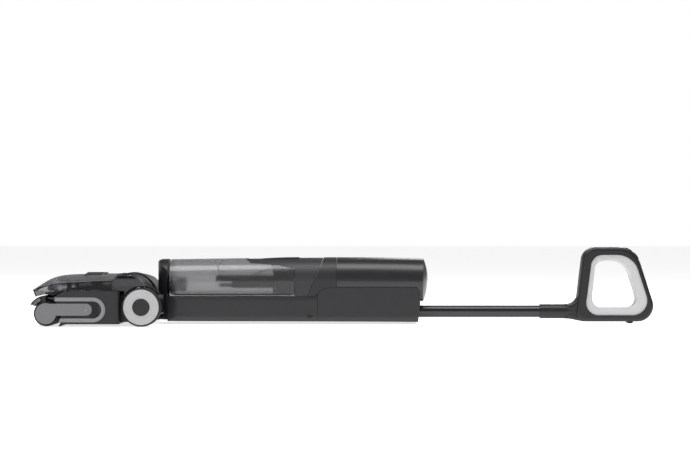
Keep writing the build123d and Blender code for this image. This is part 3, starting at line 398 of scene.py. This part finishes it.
def touch(node, start, direction):
    """The point and normal where a line first meets a CAD node."""
    if node not in surface_trees:
        source = frame["nodes"][node].data
        surface_trees[node] = BVHTree.FromPolygons([v.co.copy() for v in source.vertices],
                                                   [tuple(p.vertices) for p in source.polygons])
    spot, normal, _, _ = surface_trees[node].ray_cast(Vector(start), Vector(direction))
    return spot, normal


def size_of(name):
    """A piece's size along X, Y and Z in metres, rounded for printing."""
    return [round(v, 4) for v in bpy.data.objects[name].dimensions]


print("tank side at z 0.1:", touch("tank_shell", (-0.26, -0.2, 0.1), (0, 1, 0))[0])


# %% [markdown]
# Raised lines on a moulded part are small beads, round on top and fused below. A bead
# is swept here along points found on the shell: at each point a half round of six
# points stands on the surface, and neighbouring half rounds are joined by faces.

# %% Bead maker
ARC_POINTS = 6  # points across a bead's half round
BEAD_SINK = 0.00008  # how far a bead's foot goes into the shell, in metres
TIP_SCALE = 0.35  # a bead's ends are this much of its full section


def surface_bead(name, node, starts, direction, half_width, height, finish, body):
    """A half-round bead laid on a CAD surface along a row of starting points."""
    hits = [touch(node, start, direction) for start in starts]
    hits = [(spot, normal) for spot, normal in hits if spot is not None]
    points, faces = [], []
    for i, (spot, normal) in enumerate(hits):
        ahead = hits[min(i + 1, len(hits) - 1)][0] - hits[max(i - 1, 0)][0]
        outward = normal if normal.dot(Vector(direction)) < 0 else -normal
        across = ahead.cross(outward).normalized()
        end = TIP_SCALE if i in (0, len(hits) - 1) else 1.0
        for k in range(ARC_POINTS):
            turn = math.pi * k / (ARC_POINTS - 1)
            points.append(spot + across * math.cos(turn) * half_width * end
                          + outward * (math.sin(turn) * height * end - BEAD_SINK))
    for i in range(len(hits) - 1):
        a, b = ARC_POINTS * i, ARC_POINTS * (i + 1)
        for k in range(ARC_POINTS - 1):
            faces.append((a + k, a + k + 1, b + k + 1, b + k))
        faces.append((a + ARC_POINTS - 1, a, b, b + ARC_POINTS - 1))
    last = ARC_POINTS * (len(hits) - 1)
    faces += [tuple(range(ARC_POINTS - 1, -1, -1)), tuple(range(last, last + ARC_POINTS))]
    return make_piece(name, points, faces, finish, body)


# %% [markdown]
# The dirty tank carries a raised fill line on each side, a little forward of the middle,
# with three short ticks below it. They are moulded in, so they are beads, not paint.

# %% Fill line and ticks
FILL_X = -0.262
OUTSIDE_Y = 0.2  # rays toward a side wall start this far out, clear of the machine
for side, label in SIDES:
    rise = [(FILL_X, side * OUTSIDE_Y, 0.097 + 0.032 * i / 16) for i in range(17)]
    surface_bead(f"fill_line_{label}", "tank_shell", rise, (0, -side, 0), 0.0008, 0.0005,
                 "trim_grey", "dirty_tank")
    for row in range(3):
        level = 0.070 + 0.009 * row
        tick = [(FILL_X + 0.0024 * i, side * OUTSIDE_Y, level) for i in range(4)]
        surface_bead(f"fill_tick_{label}_{row}", "tank_shell", tick, (0, -side, 0), 0.0004, 0.0003,
                     "trim_grey", "dirty_tank")

# %% [markdown]
# Inside the clear tank a separator plate leans from low in front to high behind, and
# shows as a thin slanted line. It is a slim plate that narrows toward both edges.

# %% Separator plate
def slanted_plate(name, low, high, half_width, thick, finish, body):
    """A thin plate between a low and a high edge, narrower toward both."""
    run = Vector(high) - Vector(low)
    across = Vector((-run.z, 0, run.x)).normalized() * thick / 2
    points, faces = [], []
    steps = 10
    for i in range(steps + 1):
        t = i / steps
        pull = half_width * (1.0 - 0.12 * (2 * t - 1) ** 6)
        for y in (-pull, pull):
            for lift in (-1, 1):
                points.append(Vector(low) + run * t + Vector((0, y, 0)) + across * lift)
    for i in range(steps):
        a, b = 4 * i, 4 * i + 4
        faces += [(a, a + 2, b + 2, b), (a + 1, b + 1, b + 3, a + 3),
                  (a, b, b + 1, a + 1), (a + 2, a + 3, b + 3, b + 2)]
    last = 4 * steps
    faces += [(0, 1, 3, 2), (last, last + 2, last + 3, last + 1)]
    return make_piece(name, points, faces, finish, body, smooth=False)


slanted_plate("separator_plate", (-0.192, 0, 0.1005), (-0.150, 0, 0.1135), 0.030, 0.0012,
              "black_plastic", "dirty_tank")
print("separator plate:", size_of("separator_plate"))

# %% [markdown]
# The lid plugs into the tank with a long dark skirt, which shows through the clear
# wall as a darker end with a slanted front. It follows the inside of the tank: lines
# are cast outward from the middle, and each point stops just short of the wall.

# %% Lid skirt inside the tank
def inner_sleeve(name, shells, centre_z, start_x, end_x, gap, thick, finish, body, slant, steps=64):
    """A thin sleeve that follows the inside of one or more shells, its front edge slanted."""
    rows = 12
    points, faces = [], []
    for layer in (gap, gap + thick):
        for row in range(rows + 1):
            for i in range(steps):
                turn = 2 * math.pi * i / steps
                aim = Vector((0, math.cos(turn), math.sin(turn)))
                front = start_x - slant * math.sin(turn)
                x = front + (end_x - front) * row / rows
                middle = Vector((x, 0, centre_z))
                found = [touch(shell, middle, aim)[0] for shell in shells]
                nearest = min((spot - middle).length for spot in found if spot is not None)
                reach_out = nearest - layer
                points.append((x, aim.y * reach_out, centre_z + aim.z * reach_out))
    layer_size = (rows + 1) * steps
    for layer in range(2):
        for row in range(rows):
            for i in range(steps):
                n = (i + 1) % steps
                a, b = layer * layer_size + row * steps, layer * layer_size + (row + 1) * steps
                faces.append((a + i, a + n, b + n, b + i))
    for row in (0, rows):
        for i in range(steps):
            n = (i + 1) % steps
            a, b = row * steps, layer_size + row * steps
            faces.append((a + i, a + n, b + n, b + i))
    return make_piece(name, points, faces, finish, body)


inner_sleeve("lid_skirt", ("tank_shell", "tank_lid"), 0.1035, -0.150, -0.1125, 0.0006, 0.0012,
             "black_plastic", "dirty_tank", slant=0.012)
print("lid skirt:", size_of("lid_skirt"))

# %% [markdown]
# A dark gasket runs along each side of the tank's clear wall, near its foot, where it
# sits down on the body. It is a bead laid on the wall.

# %% Foot gaskets
FOOT_LEVEL = 0.0605
tank_low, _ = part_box("tank_shell")
for side, label in SIDES:
    foot_line = [(-0.3515 + 0.004 * i, side * OUTSIDE_Y, FOOT_LEVEL) for i in range(61)]
    surface_bead(f"foot_gasket_{label}", "tank_shell", foot_line, (0, -side, 0), 0.0015, 0.0008,
                 "black_plastic", "dirty_tank")
print("tank foot:", round(tank_low.z, 4), "gasket size:", size_of("foot_gasket_left"))

# %% [markdown]
# Each wheel turns under a dark liner, a thin curved strip just outside the tyre that
# closes the gap to the arch. Its section has a folded lip, so it reads as a moulding.

# %% Wheel arch liners
wheel_low, wheel_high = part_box("tyre_left")
axle = Vector(((wheel_low.x + wheel_high.x) / 2, 0, (wheel_low.z + wheel_high.z) / 2))
# Each pair is the reach from the axle and the distance from the machine's middle.
section = [(0.0387, 0.0990), (0.0387, 0.1006), (0.0396, 0.1010), (0.0430, 0.1010),
           (0.0430, 0.0998), (0.0406, 0.0996), (0.0400, 0.0990)]
sweep, sweep_start, sweep_angle = 48, 35, 110
count = len(section)
for side, label in SIDES:
    points, faces = [], []
    for i in range(sweep + 1):
        turn = math.radians(sweep_start + sweep_angle * i / sweep)
        for reach, aside in section:
            points.append(axle + Vector((reach * math.cos(turn), side * aside, reach * math.sin(turn))))
    for i in range(sweep):
        for k in range(count):
            j = (k + 1) % count
            faces.append((count * i + k, count * i + j, count * (i + 1) + j, count * (i + 1) + k))
    faces += [tuple(range(count)), tuple(range(count * (sweep + 1) - 1, count * sweep - 1, -1))]
    make_piece(f"arch_liner_{label}", points, faces, "black_plastic", "floor_head")
tyre_radius = (wheel_high.z - wheel_low.z) / 2
print("arch liners round", [round(v, 4) for v in axle], "tyre radius", round(tyre_radius, 4))

# %% [markdown]
# A small dark plate stands under the window's crown, over the roller: the spray bar's
# cover. It is made with the same helper as the separator.

# %% Plate under the window
slanted_plate("spray_cover", (-0.581, 0, 0.0918), (-0.556, 0, 0.0942), 0.036, 0.0014,
              "black_plastic", "floor_head")
print("spray cover:", size_of("spray_cover"))

# %% [markdown]
# The roller's sleeve is fleece. A plain cylinder would look like foam, so the surface
# is a dense grid round the axis, each point pushed in or out by clumped noise, with a
# spiral parting where the strip of fabric was wound on. It stays within the sleeve.

# %% Fleece sleeve
low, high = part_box("roller_fleece")
axis_x, axis_z = (low.x + high.x) / 2, (low.z + high.z) / 2
sleeve_r = (high.x - low.x) / 2
around, along = 220, 200
strip_pitch, bore_r = 0.055, 0.01902
points, faces = [], []
for j in range(along + 1):
    y = low.y + (high.y - low.y) * j / along
    edge = min(y - low.y, high.y - y)
    shoulder = 0.0026 * max(0.0, 1 - edge / 0.003) ** 2
    for i in range(around):
        turn = 2 * math.pi * i / around
        spiral = (turn / (2 * math.pi) + (y - low.y) / strip_pitch) % 1.0
        parting = 0.0006 * math.exp(-((spiral - 0.5) / 0.03) ** 2)
        spot = Vector((math.cos(turn) * sleeve_r, y, math.sin(turn) * sleeve_r))
        tuft = 0.00045 * (noise.noise(spot * 420) - 0.5) + 0.0003 * (noise.noise(spot * 1100) - 0.5)
        r = sleeve_r - 0.0004 - shoulder - parting + tuft
        points.append((axis_x + math.cos(turn) * r, y, axis_z + math.sin(turn) * r))
for j in range(along):
    for i in range(around):
        k = (i + 1) % around
        faces.append((j * around + i, j * around + k, (j + 1) * around + k, (j + 1) * around + i))
for y in (low.y + 0.0008, high.y - 0.0008):
    base = len(points)
    ring = 0 if y < 0 else along * around
    for i in range(around):
        turn = 2 * math.pi * i / around
        points.append((axis_x + math.cos(turn) * bore_r, y, axis_z + math.sin(turn) * bore_r))
    for i in range(around):
        k = (i + 1) % around
        faces.append((ring + i, ring + k, base + k, base + i))
fleece_sleeve = make_piece("fleece_sleeve", points, faces, "fleece", "roller")
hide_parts("roller_fleece")
print("fleece points:", len(points))

# %% [markdown]
# Screws hold the pan, the side plates and the handle. Each is a domed head with a cross
# recess: a disc of rings and spokes, where the points inside the cross are pushed down.

# %% Screws
def cross_screw(name, centre, outward, radius, finish, body):
    """A domed screw head with a cross recess, standing on a flat face."""
    outward = Vector(outward).normalized()
    side = outward.orthogonal().normalized()
    other = outward.cross(side)
    rings, spokes = 8, 32
    points = [Vector(centre) - outward * radius * 0.18]
    for ring in range(1, rings + 1):
        r = radius * ring / rings
        for i in range(spokes):
            turn = 2 * math.pi * i / spokes
            u, v = math.cos(turn) * r, math.sin(turn) * r
            dome = radius * 0.32 * math.sqrt(max(0.0, 1 - (ring / rings) ** 2 * 0.96))
            in_cross = min(abs(u), abs(v)) < radius * 0.13 and r < radius * 0.62
            slot_depth = radius * 0.42 if in_cross else 0.0
            points.append(Vector(centre) + side * u + other * v + outward * (dome - slot_depth))
    faces = [(0, 1 + i, 1 + (i + 1) % spokes) for i in range(spokes)]
    for ring in range(rings - 1):
        for i in range(spokes):
            a, b = 1 + ring * spokes + i, 1 + ring * spokes + (i + 1) % spokes
            faces.append((a, a + spokes, b + spokes, b))
    return make_piece(name, points, faces, finish, body, smooth=False)


underside = [(-0.552, -0.100), (-0.552, 0.100), (-0.462, -0.100), (-0.462, 0.100), (-0.507, 0.0)]
for i, (x, y) in enumerate(underside):
    cross_screw(f"pan_screw_{i}", (x, y, 0.0049), (0, 0, -1), 0.0032, "steel", "floor_head")
for i, side in enumerate((-1, 1)):
    cross_screw(f"arm_screw_{i}", (-0.515, side * 0.12400, 0.0339), (0, side, 0), 0.0026,
                "steel", "floor_head")
for i, (x, z) in enumerate(((0.494, 0.1478), (0.612, 0.0155), (0.425, 0.024))):
    spot, normal = touch("handle_shell_right", (x, OUTSIDE_Y, z), (0, -1, 0))
    if spot is not None:
        cross_screw(f"handle_screw_{i}", spot, normal, 0.0024, "steel", "main_body")

# %% [markdown]
# Each wheel disc carries two thin raised rings, one near the hub cap and one further
# out. They are half-round beads that stand on the disc's flat face.

# %% Rings on the wheels
def ring_bead(name, centre, radius, thick, finish, body, sides=96):
    """A thin half-round ring that stands on a flat wheel face, facing sideways."""
    outward = -1 if centre[1] < 0 else 1
    points, faces = [], []
    for i in range(sides):
        turn = 2 * math.pi * i / sides
        for k in range(ARC_POINTS):
            bend = math.pi * k / (ARC_POINTS - 1)
            r = radius + math.cos(bend) * thick
            points.append((centre[0] + math.cos(turn) * r,
                           centre[1] + outward * math.sin(bend) * thick * 0.6,
                           centre[2] + math.sin(turn) * r))
    for i in range(sides):
        a, b = ARC_POINTS * i, ARC_POINTS * ((i + 1) % sides)
        for k in range(ARC_POINTS - 1):
            faces.append((a + k, a + k + 1, b + k + 1, b + k))
        faces.append((a + ARC_POINTS - 1, a, b, b + ARC_POINTS - 1))
    return make_piece(name, points, faces, finish, body)


for side, label in SIDES:
    low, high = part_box(f"wheel_disc_{label}")
    middle = (low + high) / 2
    for ring, radius in enumerate((0.0215, 0.0305)):
        spot, _ = touch(f"wheel_disc_{label}", (middle.x + radius, side * 0.3, middle.z),
                        (0, -side, 0))
        ring_bead(f"wheel_ring_{label}_{ring}", (middle.x, spot.y, middle.z), radius, 0.0006,
                  "wheel_grey", f"wheel_{label}")

# %% [markdown]
# The display in the barrel's end shows a ring that fills as the battery charges. It is
# printed behind the lens; here it is a row of thin arcs just proud of it.

# %% Display ring
lens_low, lens_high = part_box("display_lens")
lens_z = (lens_low.z + lens_high.z) / 2
segments, ring_radius = 5, 0.021
for segment in range(segments):
    arc = []
    for i in range(9):
        turn = math.radians(90 - 72 * segment - 6 - 60 * i / 8)
        arc.append((0.3, ring_radius * math.cos(turn), lens_z + ring_radius * math.sin(turn)))
    surface_bead(f"display_arc_{segment}", "display_lens", arc, (-1, 0, 0), 0.0007, 0.00012,
                 "liner_light", "main_body")
print("display arcs:", segments)

# %% [markdown]
# The power key carries a raised ring with a short bar, and the mode key a drop. Such
# marks are plain symbols that any maker uses, moulded as beads on the key.

# %% Marks on the keys
def key_mark(name, node, body, angle, outline):
    """A bead drawn on a key's curved top, from points across and along it in metres."""
    turn = math.radians(angle)
    outward = Vector((math.cos(turn), 0, math.sin(turn)))
    along = Vector((-math.sin(turn), 0, math.cos(turn)))
    middle = (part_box(node)[0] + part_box(node)[1]) / 2
    starts = [middle + outward * 0.05 + Vector((0, a, 0)) + along * b for a, b in outline]
    return surface_bead(name, node, starts, -outward, 0.0003, 0.0002, "liner_light", body)


POWER_TILT, MODE_TILT = 61.5, 41.25  # which way each key's top faces, in degrees from +X
open_ring = [(0.0026 * math.sin(math.radians(t)), 0.0026 * math.cos(math.radians(t)))
             for t in range(35, 326, 10)]
key_mark("power_ring", "power_button", "power_key", POWER_TILT, open_ring)
key_mark("power_bar", "power_button", "power_key", POWER_TILT, [(0, 0.0006 + 0.0008 * i) for i in range(4)])
drop = []
for t in range(0, 361, 20):
    stretch = 1.3 if t < 90 or t > 270 else 0.9
    drop.append((0.0018 * math.sin(math.radians(t)), 0.0024 * math.cos(math.radians(t)) * stretch))
key_mark("mode_drop", "mode_button", "mode_key", MODE_TILT, drop)
print("key marks: ring, bar, drop")

# %% [markdown]
# A pale line follows each side of the window where its crown turns down, where the edge
# catches the light. It is a painted highlight: a slim grey bead laid on the clear moulding.

# %% Window edge painted highlights
for side, label in SIDES:
    line = [(-0.612 + 0.144 * i / 40, side * 0.1105, 0.2) for i in range(41)]
    # The grey bead paints the highlight along the window's crease; it is not a moulded line.
    surface_bead(f"window_edge_{label}", "brush_window", line, (0, 0, -1), 0.0009, 0.0005,
                 "trim_grey", "window")

# %% [markdown]
# The pale floor is the stage, not part of the object. It is a plain light table that
# glows a little, which lifts the shadows under the machine as a studio table does.

# %% Floor
floor_mesh = bpy.data.meshes.new("pale_floor")
reach = 14.0
corners = [(-reach, -reach, 0), (reach, -reach, 0), (reach, reach, 0), (-reach, reach, 0)]
floor_mesh.from_pydata(corners, [], [(0, 1, 2, 3)])
pale_floor = bpy.data.objects.new("pale_floor", floor_mesh)
pale_floor.location.z = -0.0004
bpy.context.scene.collection.objects.link(pale_floor)
floor_paint, floor_tree, floor_shader, floor_place = start_material("painted_board_white")
mottle = add_node(floor_tree, "ShaderNodeTexNoise", {"Scale": 3.0, "Detail": 2.0}, {"Vector": floor_place})
shade = add_node(floor_tree, "ShaderNodeMix", {"data_type": "RGBA"}, {0: mottle.outputs["Fac"]})
shade.inputs[MIX_A].default_value = linear("#F4F4F4")
shade.inputs[MIX_B].default_value = linear("#F7F7F7")
floor_tree.links.new(shade.outputs[MIX_OUT], floor_shader.inputs["Base Color"])
floor_shader.inputs["Roughness"].default_value = 0.9
floor_mesh.materials.append(floor_paint)
floor_shader.inputs["Emission Color"].default_value = (1.0, 1.0, 1.0, 1.0)
floor_shader.inputs["Emission Strength"].default_value = 0.7
print("floor placed")
